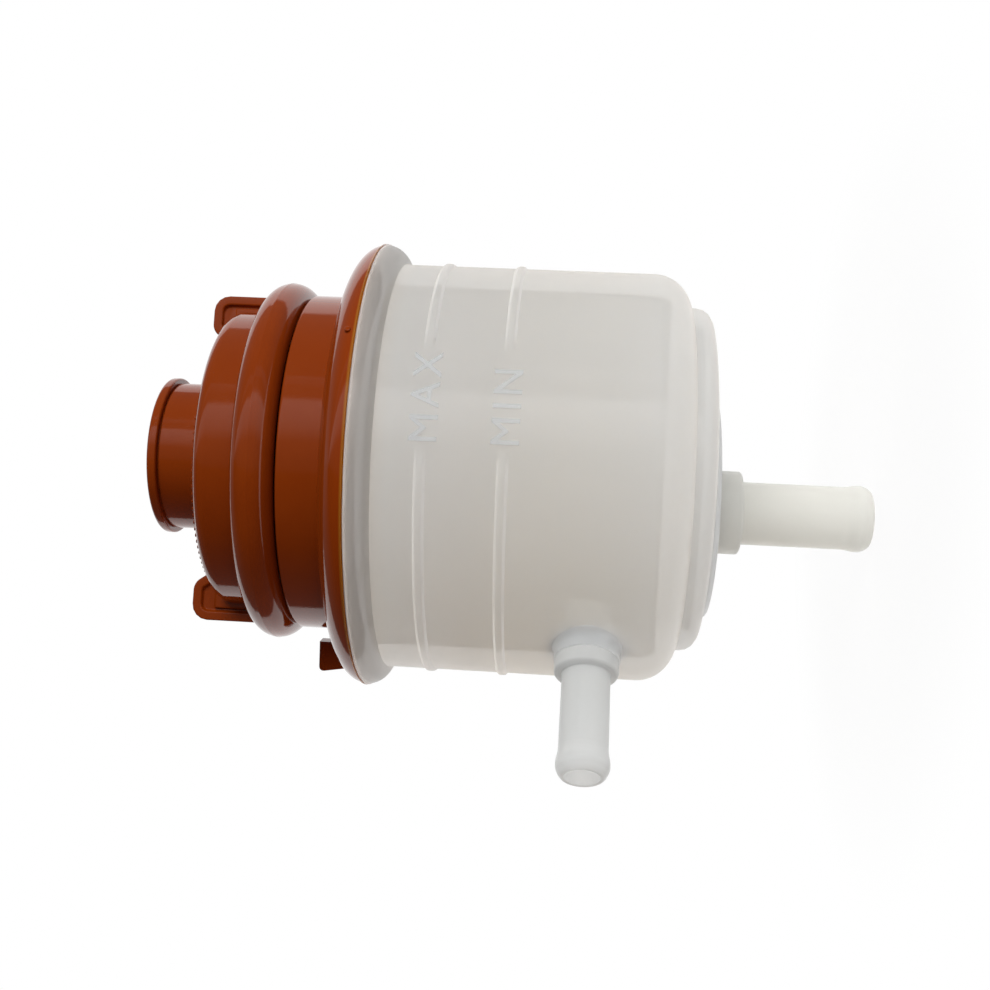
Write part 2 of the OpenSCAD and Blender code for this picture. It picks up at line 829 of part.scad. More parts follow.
module strainer_basket() {
    rim_r = strainer_seat_r - loose_clear;
    seat_z = spout_top_z - strainer_seat_h;
    top_z = spout_top_z - seal_gap;
    inside_r = basket_r - basket_t;
    rib_inset = 0.2;
    rib_width = 5;
    rib_start = 9;
    spoke_w = 2;
    color("whitesmoke")
        union() {
            rotate_extrude()
                polygon([
                    [inside_r, seat_z - basket_t],
                    [basket_r, seat_z - basket_t],
                    [basket_r, seat_z],
                    [rim_r, seat_z],
                    [rim_r, top_z],
                    [inside_r, top_z]
                ]);
            ring(basket_r, inside_r, basket_z, basket_t);
            for (i = [0 : basket_ribs - 1])
                sector_block(inside_r + rib_inset, basket_r - rib_inset, basket_z + rib_inset,
                    basket_l - basket_t, rib_start + i * 360 / basket_ribs, rib_width);
            for (i = [0 : basket_ribs / 2 - 1])
                rotate([0, 0, rib_start + i * 360 / basket_ribs])
                    translate([-basket_r + basket_t / 2, -spoke_w / 2, basket_z])
                        cube([2 * basket_r - basket_t, spoke_w, basket_t - rib_inset]);
        }
}

// The woven mesh inside the basket, drawn coarse, with a closed floor resting on the spokes
module strainer_mesh() {
    sleeve_r = basket_r - basket_t - fit_clear;
    rows = 4;
    columns = 12;
    gap_h = (basket_l - 3 * basket_t) / rows - mesh_gap;
    color("silver")
        difference() {
            union() {
                ring(sleeve_r, sleeve_r - mesh_t, basket_z + basket_t, basket_l - basket_t);
                translate([0, 0, basket_z + basket_t])
                    cylinder(r = sleeve_r, h = mesh_t);
            }
            for (row = [0 : rows - 1])
                for (column = [0 : columns / 2 - 1])
                    rotate([0, 0, (column + 0.5) * 360 / columns])
                        translate([
                            -basket_r,
                            -mesh_gap,
                            basket_z + 2.5 * basket_t + row * (gap_h + mesh_gap)
                        ])
                            cube([2 * basket_r, 2 * mesh_gap, gap_h]);
        }
}

// Baffle, captured under the weld, with a socket for the spring

module baffle_plate() {
    hub_margin = 6;
    rim_w = 4;
    window_in = spring_d / 2 + outlet_offset + hub_margin;
    window_out = inner_r - rim_w;
    socket_r = spring_d / 2 + spring_wire / 2 + loose_clear;
    socket_wall = 1.2;
    socket_h = 3;
    color("whitesmoke")
        difference() {
            union() {
                translate([0, 0, baffle_z])
                    cylinder(r = baffle_r, h = baffle_t);
                on_outlet_axis()
                    ring(socket_r + socket_wall, socket_r, baffle_z - socket_h,
                        socket_h + baffle_t / 2);
            }
            for (i = [0 : baffle_windows - 1])
                rotate([0, 0, i * 360 / baffle_windows])
                    intersection() {
                        sector_block(window_in, window_out, baffle_z - cut, baffle_t + 2 * cut,
                            0, 360 / baffle_windows);
                        translate([0, baffle_bar_w / 2, baffle_z - cut])
                            cube([body_r, body_r, baffle_t + 2 * cut]);
                        rotate([0, 0, 360 / baffle_windows - 90])
                            translate([baffle_bar_w / 2, 0, baffle_z - cut])
                                cube([body_r, body_r, baffle_t + 2 * cut]);
                    }
        }
}

// Filter

// Height of the spring's wire after t turns: level at both ends, climbing between
function spring_height(t) =
    spring_z + (spring_top_z - spring_z)
    * min(1, max(0, (t - spring_flat) / (spring_turns - 2 * spring_flat)));

module filter_spring() {
    n = floor(spring_turns * spring_rings);
    points = [
        for (i = [0 : n])
            for (k = [0 : spring_sides - 1])
                let (
                    turn = 360 * i / spring_rings,
                    side = 360 * k / spring_sides,
                    r = spring_d / 2 + spring_wire / 2 * cos(side)
                )
                [r * cos(turn), r * sin(turn),
                    spring_height(i / spring_rings) + spring_wire / 2 * sin(side)]
    ];
    walls = [
        for (i = [0 : n - 1])
            for (k = [0 : spring_sides - 1])
                let (next = (k + 1) % spring_sides)
                [i * spring_sides + k, i * spring_sides + next,
                    (i + 1) * spring_sides + next, (i + 1) * spring_sides + k]
    ];
    ends = [
        [for (k = [spring_sides - 1 : -1 : 0]) k],
        [for (k = [0 : spring_sides - 1]) n * spring_sides + k]
    ];
    color("silver")
        on_outlet_axis()
            polyhedron(points = points, faces = concat(walls, ends));
}

module filter_plate(z, rim_z) {
    difference() {
        translate([0, 0, z])
            cylinder(r = filter_r, h = plate_t);
        children();
    }
    ring(filter_r, filter_r - plate_rim_wall, rim_z, plate_rim_h);
}

module filter_top_plate() {
    peg_r = spring_d / 2 - spring_wire / 2 - loose_clear;
    peg_wall = 1.2;
    peg_h = 3;
    color("darkgray")
        on_outlet_axis() {
            filter_plate(top_plate_z, filter_top_z - plate_rim_h);
            ring(peg_r, peg_r - peg_wall, filter_top_z - plate_t / 2, plate_t / 2 + peg_h);
        }
}

module filter_base_plate() {
    color("darkgray")
        on_outlet_axis()
            filter_plate(base_plate_z, base_plate_z)
                translate([0, 0, base_plate_z - cut])
                    cylinder(r = grommet_d / 2 + fit_clear, h = plate_t + 2 * cut);
}

// A star outline with its tips at radius tip and its folds at radius tip - pleat_depth
function star(tip) = [
    for (i = [0 : 2 * pleat_count - 1])
        let (
            a = 180 * i / pleat_count,
            r = i % 2 == 0 ? tip : tip - pleat_depth
        )
        [r * cos(a), r * sin(a)]
];

module filter_media() {
    color("khaki")
        on_outlet_axis()
            translate([0, 0, media_z])
                linear_extrude(media_h)
                    difference() {
                        polygon(star(media_d / 2));
                        polygon(star(media_d / 2 - fold_t));
                    }
}

module filter_core() {
    hole_r = 2.2;
    rows = 5;
    pitch = media_h / rows;
    color("silver")
        on_outlet_axis()
            difference() {
                ring(core_d / 2, core_d / 2 - core_wall, media_z, media_h);
                for (row = [0 : rows - 1])
                    for (a = [0 : 45 : 315])
                        rotate([0, 0, a + (row % 2) * 22.5])
                            translate([core_d / 2 - 2 * core_wall, 0, media_z + (row + 0.5) * pitch])
                                rotate([0, 90, 0])
                                    cylinder(r = hole_r, h = 3 * core_wall, $fn = 24);
            }
}

module filter_grommet() {
    flange_w = 1.8;
    inner = stub_d / 2 + fit_clear;
    lap = grommet_flange_t / 3;
    color("black")
        on_outlet_axis() {
            ring(grommet_d / 2 + flange_w, inner, filter_seat_z + seal_gap, grommet_flange_t);
            ring(grommet_d / 2, inner, base_plate_z - lap, plate_t + lap);
        }
}

module ring_magnet() {
    color("slategray")
        on_outlet_axis()
            ring(magnet_d / 2, outlet_spigot_d / 2 + loose_clear, floor_z, magnet_t);
}

tank_shell();
upper_housing();
suction_nipple();
return_nipple();
return_diffuser();
filler_cap();
cap_gasket();
breather_lid();
breather_felt();
breather_valve();
splash_plate();
strainer_basket();
strainer_mesh();
baffle_plate();
filter_spring();
filter_top_plate();
filter_media();
filter_core();
filter_base_plate();
filter_grommet();
ring_magnet();
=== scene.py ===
# Power steering reservoir: the milky welded tank, its brown upper housing, the twist-off cap with
# its breather knob, and the two hose nipples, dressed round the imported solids.
import math

import bmesh
import bpy
from mathutils import Matrix, Vector


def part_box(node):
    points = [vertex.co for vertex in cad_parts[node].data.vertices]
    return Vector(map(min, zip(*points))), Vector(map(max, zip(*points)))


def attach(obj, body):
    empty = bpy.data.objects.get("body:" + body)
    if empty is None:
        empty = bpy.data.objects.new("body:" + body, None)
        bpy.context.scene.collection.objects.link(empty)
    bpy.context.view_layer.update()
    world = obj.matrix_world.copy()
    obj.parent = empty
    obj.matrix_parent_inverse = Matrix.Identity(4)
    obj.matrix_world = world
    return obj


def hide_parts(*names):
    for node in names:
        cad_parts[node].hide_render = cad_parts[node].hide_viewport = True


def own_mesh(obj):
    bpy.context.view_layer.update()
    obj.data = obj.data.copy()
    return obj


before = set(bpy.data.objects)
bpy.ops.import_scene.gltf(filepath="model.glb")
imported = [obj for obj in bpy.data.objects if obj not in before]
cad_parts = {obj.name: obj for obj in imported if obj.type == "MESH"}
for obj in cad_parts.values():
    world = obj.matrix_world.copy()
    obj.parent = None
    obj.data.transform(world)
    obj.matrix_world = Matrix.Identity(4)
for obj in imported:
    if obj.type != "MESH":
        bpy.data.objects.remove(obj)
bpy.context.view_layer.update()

MM = 0.001


def low(node, axis):
    """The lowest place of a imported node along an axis, in millimetres."""
    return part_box(node)[0][axis] / MM


def high(node, axis):
    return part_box(node)[1][axis] / MM


# Sizes in millimetres. Heights run from the weld flange's underside, +Z towards the cap.
Y, Z = 1, 2
TURN_SIDES = 160
SMALL_SIDES = 96
CORNER_STEPS = 4
SHARP_ANGLE = math.radians(38)
DRAFT = 0.94

# Tank
BODY_R = 51.0
WALL = 2.5
BODY_CORNER_R = 9.3
BODY_BOTTOM_Z = -71.0
BASE_RING_R = 43.0
BASE_RING_CORNER = 3.8
PAD_R = 28.6
PAD_H = 2.4
PAD_OFFSET = 6.1
PAD_CORNER = 1.2
PAD_Z = low("tank_shell", Z)
BASE_Z = PAD_Z + PAD_H
FLOOR_Z = BASE_Z + WALL
SEAM_Z = high("tank_shell", Z)
LEVEL_DROPS = {"MAX": 11.0, "MIN": 28.9}
LEVEL_W = 2.6
LEVEL_PROUD = 0.6
LEVEL_GAP_START = 271.0
LEVEL_GAP = 32.0
WORD_H = 6.6
WORD_START = 274.5
WORD_PROUD = 0.3
BAFFLE_LEDGE = 1.0
BAFFLE_Z = low("baffle_plate", Z)

# Weld flange
FLASH_PROUD = 0.4
FLASH_WAVE = 0.04
FLANGE_R = high("upper_housing", Y) - FLASH_PROUD

# Upper housing
NECK_R = 42.4
NECK_BASE_Z = 12.5
NECK_TOP_Z = low("filler_cap", Z) - 0.6
SPOUT_R = 32.6
SPOUT_WALL = 3.0
SPOUT_TOP_Z = high("upper_housing", Z)
STRAINER_SEAT = 1.5
BAFFLE_HOLD_R = 47.5
LUG_ANGLE = 174.0
LUG_REACH = 54.6
LUG_L = 8.0
LUG_T = 5.0
LUG_TOP_Z = 19.6
LOCK_DEPTH = 1.8
LOCK_H = 2.5
LOCK_LEAD = 12.0
RAMP_Z = 31.5
RAMP_STEP = 15.0
RAMP_SLIT = 2.0
RAMP_START = 12.0

# Cap
CAP_WALL = 2.5
SKIRT_R = 37.5
FACE_Z = 44.0
FACE_EDGE = 3.3
CEILING_Z = FACE_Z - CAP_WALL
RIM_Z = low("filler_cap", Z)
BEAD_R = 5.1
BEAD_CENTER_R = high("filler_cap", Y) - BEAD_R
BEAD_Z = RIM_Z + BEAD_R
KNOB_R = 18.7
KNOB_TOP_Z = high("filler_cap", Z)
PARTITION_Z = 45.5
PARTITION_T = 2.0
EAR_REACH = 42.0
EAR_L = 15.0
EAR_T = 6.0
EAR_TOP_Z = 51.1
EAR_CORNER = 4.0
EAR_ANGLE = 5.0
EAR_RIM = 2.3
EAR_RECESS = 1.0
TICK_IN = 31.4
TICK_OUT = 34.6
TICK_H = 0.5
TICK_W = 0.8
LID_R = 20.0
LID_TOP_Z = high("breather_lid", Z)
LID_GROOVE = 0.3

# Nipples
OUTLET_X = -7.8
OUTLET_COLLAR_R = 10.5
OUTLET_COLLAR_Z = -86.3
OUTLET_TUBE_R = 7.9
OUTLET_BORE_R = 6.0
OUTLET_END_Z = low("suction_nipple", Z)
OUTLET_SPIGOT_R = 9.6
STUB_R = 7.6
STUB_TOP_Z = high("suction_nipple", Z)
FILTER_SEAT_Z = STUB_TOP_Z - 6.5
RETURN_ANGLE = 217.0
RETURN_Z = -49.3
RETURN_BOSS_R = 7.7
RETURN_SEAT = 54.1
RETURN_COLLAR_R = 7.4
RETURN_COLLAR_END = 57.8
RETURN_TUBE_R = 5.55
RETURN_BORE_R = 3.9
RETURN_SPIGOT_R = 6.0
RETURN_INNER_END = 43.5
RETURN_TIP = 82.8
BEAD_PROUD = 0.45
NOSE_LIP = 0.7
NOSE_L = 2.2
LAND_L = 1.6
SLOPE_L = 2.2


# Mesh helpers


def arc(center_r, center_z, radius_r, radius_z, start, end, steps):
    """Outline corners along an arc, from start to end degrees."""
    return [
        (
            center_r + radius_r * math.cos(math.radians(start + (end - start) * i / steps)),
            center_z + radius_z * math.sin(math.radians(start + (end - start) * i / steps)),
        )
        for i in range(steps + 1)
    ]


def draw_outline(bm, corners, closed):
    """Draws (radius, height[, rounding]) corners in the XZ plane, and rounds those that ask for it."""
    points = [bm.verts.new((c[0], 0.0, c[1])) for c in corners]
    for first, second in zip(points, points[1:]):
        bm.edges.new((first, second))
    if closed:
        bm.edges.new((points[-1], points[0]))
    for point, corner in zip(points, corners):
        if len(corner) == 3:
            bmesh.ops.bevel(
                bm, geom=[point], offset=corner[2], offset_type="OFFSET", affect="VERTICES",
                segments=CORNER_STEPS, profile=0.5, material=-1,
            )


def close_up(bm):
    bmesh.ops.remove_doubles(bm, verts=bm.verts, dist=0.001)
    loose = [v for v in bm.verts if not v.link_faces]
    bmesh.ops.delete(bm, geom=loose, context="VERTS")
    bmesh.ops.recalc_face_normals(bm, faces=bm.faces)


def turned(corners, closed=False, sides=TURN_SIDES, start=0.0, sweep=360.0):
    """A turned solid round +Z. A part turn gets its two end faces."""
    bm = bmesh.new()
    draw_outline(bm, corners, closed)
    bmesh.ops.rotate(
        bm, verts=bm.verts, cent=(0, 0, 0), matrix=Matrix.Rotation(math.radians(start), 3, "Z")
    )
    whole = sweep == 360.0
    bmesh.ops.spin(
        bm, geom=list(bm.verts) + list(bm.edges), cent=(0, 0, 0), axis=(0, 0, 1),
        dvec=(0, 0, 0), angle=math.radians(sweep), use_merge=whole, use_duplicate=False,
        steps=sides if whole else max(2, round(sides * sweep / 360)),
    )
    bmesh.ops.remove_doubles(bm, verts=bm.verts, dist=0.001)
    if not whole:
        bmesh.ops.holes_fill(bm, edges=[e for e in bm.edges if e.is_boundary], sides=0)
    close_up(bm)
    return bm


def plate(corners, thickness, edge, recess=None):
    """A flat plate from an outline in the XZ plane, thickness along Y, with rounded edges.
    A recess of (rim, depth) sinks the middle of both faces."""
    bm = bmesh.new()
    draw_outline(bm, corners, True)
    bmesh.ops.translate(bm, verts=bm.verts, vec=(0, -thickness / 2, 0))
    first = bmesh.ops.contextual_create(bm, geom=bm.edges[:])["faces"]
    grown = bmesh.ops.extrude_face_region(bm, geom=first)["geom"]
    bmesh.ops.translate(
        bm, verts=[v for v in grown if isinstance(v, bmesh.types.BMVert)], vec=(0, thickness, 0)
    )
    bmesh.ops.recalc_face_normals(bm, faces=bm.faces)
    sides = [f for f in bm.faces if abs(f.normal.y) > 0.9]
    if recess:
        rim, depth = recess
        bmesh.ops.inset_individual(bm, faces=sides, thickness=rim, use_even_offset=True)
        for side in sides:
            floor = bmesh.ops.extrude_discrete_faces(bm, faces=[side])["faces"][0]
            bmesh.ops.translate(bm, verts=floor.verts, vec=-floor.normal * depth)
            middle = Matrix.Translation(-floor.calc_center_median())
            bmesh.ops.scale(bm, verts=floor.verts, vec=(DRAFT, 1, DRAFT), space=middle)
        close_up(bm)
    rims = [
        e for e in bm.edges
        if len(e.link_faces) == 2 and e.calc_face_angle() > 0.9
        and max(abs(f.normal.y) for f in e.link_faces) > 0.9
    ]
    bmesh.ops.bevel(
        bm, geom=rims, offset=edge, offset_type="OFFSET", affect="EDGES", segments=3,
        profile=0.5, material=-1, clamp_overlap=True,
    )
    close_up(bm)
    return bm


def moved(bm, matrix):
    bmesh.ops.transform(bm, matrix=matrix, verts=bm.verts)
    return bm


def around(angle):
    return Matrix.Rotation(math.radians(angle), 4, "Z")


ON_RETURN_AXIS = (
    around(RETURN_ANGLE) @ Matrix.Translation((0, 0, RETURN_Z)) @ Matrix.Rotation(math.pi / 2, 4, "Y")
)
ON_OUTLET_AXIS = Matrix.Translation((OUTLET_X, 0, 0))


def piece(name, parts, materials, body, slot, *nodes):
    """One finished piece from its closed parts, in metres, riding on a body in place of its nodes."""
    whole = bmesh.new()
    for part in parts:
        for edge in part.edges:
            if len(edge.link_faces) == 2 and edge.calc_face_angle() > SHARP_ANGLE:
                edge.smooth = False
        for face in part.faces:
            face.smooth = True
        scrap = bpy.data.meshes.new("scrap")
        part.to_mesh(scrap)
        part.free()
        whole.from_mesh(scrap)
        bpy.data.meshes.remove(scrap)
    bmesh.ops.scale(whole, verts=whole.verts, vec=(MM, MM, MM))
    mesh = bpy.data.meshes.new(name)
    whole.to_mesh(mesh)
    whole.free()
    for material in materials:
        mesh.materials.append(material)
    made = bpy.data.objects.new(name, mesh)
    bpy.context.scene.collection.objects.link(made)
    weighted = made.modifiers.new("even normals", "WEIGHTED_NORMAL")
    weighted.keep_sharp = True
    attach(made, body)
    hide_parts(*nodes)
    return made


# Material helpers


def linear(hex_colour):
    """An sRGB hex colour as linear red, green, blue and alpha."""
    parts = [int(hex_colour[i:i + 2], 16) / 255 for i in (1, 3, 5)]
    return [p / 12.92 if p <= 0.04045 else ((p + 0.055) / 1.055) ** 2.4 for p in parts] + [1.0]


def add(tree, kind, inputs=None, **settings):
    """Adds a node with its settings. An input's value is a number, a colour or another socket."""
    node = tree.nodes.new(kind)
    for name, value in settings.items():
        setattr(node, name, value)
    for name, value in (inputs or {}).items():
        if isinstance(value, bpy.types.NodeSocket):
            tree.links.new(value, node.inputs[name])
        else:
            node.inputs[name].default_value = value
    return node


def start_material(name):
    material = bpy.data.materials.new(name)
    material.use_nodes = True
    tree = material.node_tree
    return material, tree, tree.nodes["Principled BSDF"]


def per_mm(size_mm):
    """The scale that gives a noise pattern spots of about this size."""
    return 1 / (size_mm * MM)


def moulded(name, dark, light, roughness, flow_mm=14.0, grain_mm=0.7, grain=0.03):
    """Injection-moulded nylon: a faint flow pattern in the colour, uneven gloss and fine grain."""
    material, tree, shader = start_material(name)
    place = add(tree, "ShaderNodeTexCoord").outputs["Object"]
    flow = add(tree, "ShaderNodeTexNoise", {
        "Vector": place, "Scale": per_mm(flow_mm), "Detail": 4.0, "Roughness": 0.55,
    })
    colour = add(tree, "ShaderNodeMix", {
        "Factor": flow.outputs["Fac"], "A": linear(dark), "B": linear(light),
    }, data_type="RGBA")
    gloss = add(tree, "ShaderNodeTexNoise", {
        "Vector": place, "Scale": per_mm(flow_mm / 3), "Detail": 3.0,
    })
    shine = add(tree, "ShaderNodeMapRange", {
        "Value": gloss.outputs["Fac"], "From Min": 0.3, "From Max": 0.7,
        "To Min": roughness * 0.8, "To Max": roughness * 1.25,
    })
    fine = add(tree, "ShaderNodeTexNoise", {"Vector": place, "Scale": per_mm(grain_mm), "Detail": 2.0})
    bump = add(tree, "ShaderNodeBump", {
        "Height": fine.outputs["Fac"], "Strength": grain, "Distance": grain_mm * MM,
    })
    tree.links.new(colour.outputs["Result"], shader.inputs["Base Color"])
    tree.links.new(shine.outputs["Result"], shader.inputs["Roughness"])
    tree.links.new(bump.outputs["Normal"], shader.inputs["Normal"])
    shader.inputs["IOR"].default_value = 1.5
    return material, tree, shader, colour


def brown_nylon():
    """Brown glass-filled nylon, moulded glossy: deep red-brown with sharp pale reflections."""
    return moulded("brown nylon, moulded glossy", "#88340A", "#983F0E", 0.07, grain=0.015)[0]


def amber_nylon():
    """The housing's brown nylon, with a painted orange glow where it thins towards the weld and a
    painted pale glow line at the weld edge.
    """
    material, tree, shader, colour = moulded(
        "amber-brown nylon, moulded glossy", "#8A350A", "#99400E", 0.07, grain=0.015
    )
    place = add(tree, "ShaderNodeTexCoord").outputs["Object"]
    height = add(tree, "ShaderNodeSeparateXYZ", {"Vector": place}).outputs["Z"]
    # Painted glow: the colour turns orange towards the weld, standing in for light shining through the
    # thinning plastic.
    thin = add(tree, "ShaderNodeMapRange", {
        "Value": height, "From Min": NECK_BASE_Z * MM, "From Max": (SEAM_Z + 0.6) * MM,
        "To Min": 0.0, "To Max": 1.0,
    })
    painted_glow = add(tree, "ShaderNodeMix", {
        "Factor": thin.outputs["Result"], "A": colour.outputs["Result"], "B": linear("#943A0A"),
    }, data_type="RGBA")
    # Painted glow line: a pale orange band of painted light just above the weld edge.
    edge = add(tree, "ShaderNodeMapRange", {
        "Value": height, "From Min": (SEAM_Z + 0.9) * MM, "From Max": (SEAM_Z + 0.5) * MM,
        "To Min": 0.0, "To Max": 1.0,
    })
    painted_edge_glow = add(tree, "ShaderNodeMix", {
        "Factor": edge.outputs["Result"], "A": painted_glow.outputs["Result"], "B": linear("#A9651C"),
    }, data_type="RGBA")
    tree.links.new(painted_edge_glow.outputs["Result"], shader.inputs["Base Color"])
    return material


def milky_nylon():
    """Natural nylon, moulded satin: milky, lets the light through and warms it on the way."""
    material, tree, shader, colour = moulded(
        "natural nylon, milky", "#D9E0E6", "#E1E7EC", 0.06, flow_mm=22.0, grain=0.02
    )
    shader.inputs["Specular IOR Level"].default_value = 1.0
    shader.inputs["Coat Weight"].default_value = 1.0
    shader.inputs["Coat Roughness"].default_value = 0.04
    shader.inputs["Coat IOR"].default_value = 2.1
    warm = add(tree, "ShaderNodeBsdfTranslucent", {"Color": linear("#FDFCFB")})
    mix = add(tree, "ShaderNodeMixShader", {
        0: 0.66, 1: shader.outputs["BSDF"], 2: warm.outputs["BSDF"],
    })
    place = add(tree, "ShaderNodeTexCoord").outputs["Object"]
    height = add(tree, "ShaderNodeSeparateXYZ", {"Vector": place}).outputs["Z"]
    near_weld = add(tree, "ShaderNodeMapRange", {
        "Value": height, "From Min": -4 * MM, "From Max": SEAM_Z * MM,
    })
    tinted = add(tree, "ShaderNodeMix", {
        "Factor": near_weld.outputs["Result"], "A": colour.outputs["Result"],
        "B": linear("#CFBFB6"),
    }, data_type="RGBA")
    tree.links.new(tinted.outputs["Result"], shader.inputs["Base Color"])
    tree.links.new(mix.outputs["Shader"], tree.nodes["Material Output"].inputs["Surface"])
    return material


def thin_relief():
    """The raised words: so thin that only their gloss and a faint haze show on the milky wall."""
    material, tree, shader, colour = moulded(
        "natural nylon, thin relief", "#D9E0E6", "#E1E7EC", 0.1, flow_mm=22.0, grain=0.02
    )
    clear = add(tree, "ShaderNodeBsdfTransparent")
    mix = add(tree, "ShaderNodeMixShader", {
        0: 0.72, 1: shader.outputs["BSDF"], 2: clear.outputs["BSDF"],
    })
    tree.links.new(mix.outputs["Shader"], tree.nodes["Material Output"].inputs["Surface"])
    return material


def clear_inner_face():
    """The inside of the milky wall: it passes on the light that the outer face has scattered."""
    material = bpy.data.materials.new("natural nylon, inner face")
    material.use_nodes = True
    tree = material.node_tree
    tree.nodes.remove(tree.nodes["Principled BSDF"])
    place = add(tree, "ShaderNodeTexCoord").outputs["Object"]
    flow = add(tree, "ShaderNodeTexNoise", {"Vector": place, "Scale": per_mm(25.0)})
    tint = add(tree, "ShaderNodeMix", {
        "Factor": flow.outputs["Fac"], "A": linear("#FFFEFD"), "B": linear("#FBFAF7"),
    }, data_type="RGBA")
    clear = add(tree, "ShaderNodeBsdfTransparent", {"Color": tint.outputs["Result"]})
    tree.links.new(clear.outputs["BSDF"], tree.nodes["Material Output"].inputs["Surface"])
    return material


def cream_nylon():
    """Natural nylon of the suction nipple, satin and slightly cream."""
    material, tree, shader, colour = moulded(
        "natural nylon, cream", "#E6E5E0", "#ECEBE7", 0.18, flow_mm=10.0, grain=0.02
    )
    warm = add(tree, "ShaderNodeBsdfTranslucent", {"Color": linear("#FCFCFA")})
    mix = add(tree, "ShaderNodeMixShader", {
        0: 0.55, 1: shader.outputs["BSDF"], 2: warm.outputs["BSDF"],
    })
    tree.links.new(mix.outputs["Shader"], tree.nodes["Material Output"].inputs["Surface"])
    return material


def grey_white_nylon():
    """Natural nylon of the return nipple, satin and a neutral grey-white."""
    material, tree, shader, colour = moulded(
        "natural nylon, grey-white", "#DCDDDC", "#E4E4E3", 0.18, flow_mm=10.0, grain=0.02
    )
    pale = add(tree, "ShaderNodeBsdfTranslucent", {"Color": linear("#F4F5F5")})
    mix = add(tree, "ShaderNodeMixShader", {
        0: 0.55, 1: shader.outputs["BSDF"], 2: pale.outputs["BSDF"],
    })
    tree.links.new(mix.outputs["Shader"], tree.nodes["Material Output"].inputs["Surface"])
    return material


def white_polypropylene():
    """Plain white plastic of the inner parts, dull and slightly waxy."""
    return moulded("white polypropylene", "#DAD8D0", "#E6E4DD", 0.42, flow_mm=8.0)[0]


def black_rubber():
    """Moulded nitrile rubber: near black, dull, with a dusty grain."""
    return moulded("nitrile rubber", "#17171A", "#26262A", 0.65, flow_mm=3.0, grain_mm=0.3, grain=0.2)[0]


def breather_felt():
    """Pressed wool felt: mottled fibres, no gloss at all."""
    material, tree, shader, colour = moulded(
        "pressed felt", "#A8977C", "#D2C4A8", 0.95, flow_mm=1.2, grain_mm=0.25, grain=0.8
    )
    shader.inputs["Sheen Weight"].default_value = 0.4
    return material


def woven_mesh():
    """Polyester strainer cloth: a square weave, drawn coarser than the real thread so it shows."""
    material, tree, shader = start_material("polyester strainer cloth")
    thread = per_mm(0.9)
    place = add(tree, "ShaderNodeTexCoord").outputs["Object"]
    warp = add(tree, "ShaderNodeTexWave", {"Vector": place, "Scale": thread / 6}, bands_direction="Z")
    weft = add(tree, "ShaderNodeTexWave", {"Vector": place, "Scale": thread / 6}, bands_direction="X")
    weave = add(tree, "ShaderNodeMath", {0: warp.outputs["Fac"], 1: weft.outputs["Fac"]},
                operation="MULTIPLY")
    colour = add(tree, "ShaderNodeMix", {
        "Factor": weave.outputs["Value"], "A": linear("#B9BAB6"), "B": linear("#E2E2DC"),
    }, data_type="RGBA")
    bump = add(tree, "ShaderNodeBump", {
        "Height": weave.outputs["Value"], "Strength": 0.5, "Distance": 0.2 * MM,
    })
    tree.links.new(colour.outputs["Result"], shader.inputs["Base Color"])
    tree.links.new(bump.outputs["Normal"], shader.inputs["Normal"])
    shader.inputs["Roughness"].default_value = 0.6
    return material


def plated_steel(name, dark, light, roughness, line_mm):
    """Zinc-plated steel, drawn or pressed: grey metal with fine lines across its gloss."""
    material, tree, shader = start_material(name)
    place = add(tree, "ShaderNodeTexCoord").outputs["Object"]
    stretch = add(tree, "ShaderNodeMapping", {"Vector": place, "Scale": (1, 1, 8)})
    lines = add(tree, "ShaderNodeTexNoise", {
        "Vector": stretch.outputs["Vector"], "Scale": per_mm(line_mm), "Detail": 4.0,
    })
    colour = add(tree, "ShaderNodeMix", {
        "Factor": lines.outputs["Fac"], "A": linear(dark), "B": linear(light),
    }, data_type="RGBA")
    shine = add(tree, "ShaderNodeMapRange", {
        "Value": lines.outputs["Fac"], "To Min": roughness * 0.7, "To Max": roughness * 1.4,
    })
    tree.links.new(colour.outputs["Result"], shader.inputs["Base Color"])
    tree.links.new(shine.outputs["Result"], shader.inputs["Roughness"])
    shader.inputs["Metallic"].default_value = 1.0
    return material


def filter_paper():
    """Resin-treated filter paper: pale straw, fibrous and dull."""
    return moulded("resin-treated filter paper", "#DDD2B8", "#EEE6D2", 0.85, flow_mm=1.5,
                   grain_mm=0.4, grain=0.5)[0]


def ferrite():
    """Sintered ferrite: dark grey, matt and slightly speckled."""
    return moulded("sintered ferrite", "#2B2C30", "#45464B", 0.5, flow_mm=0.8, grain_mm=0.3,
                   grain=0.3)[0]


BROWN = brown_nylon()
AMBER = amber_nylon()
MILKY = milky_nylon()
INNER_FACE = clear_inner_face()
RELIEF = thin_relief()
CREAM = cream_nylon()
GREY_WHITE = grey_white_nylon()
WHITE = white_polypropylene()
RUBBER = black_rubber()
FELT = breather_felt()
CLOTH = woven_mesh()
SPRING_STEEL = plated_steel("spring steel wire", "#8C8E90", "#C2C4C4", 0.28, 0.6)
PRESSED_STEEL = plated_steel("zinc-plated pressed steel", "#9A9C9A", "#CBCBC4", 0.35, 2.0)
PAPER = filter_paper()
FERRITE = ferrite()


# Tank


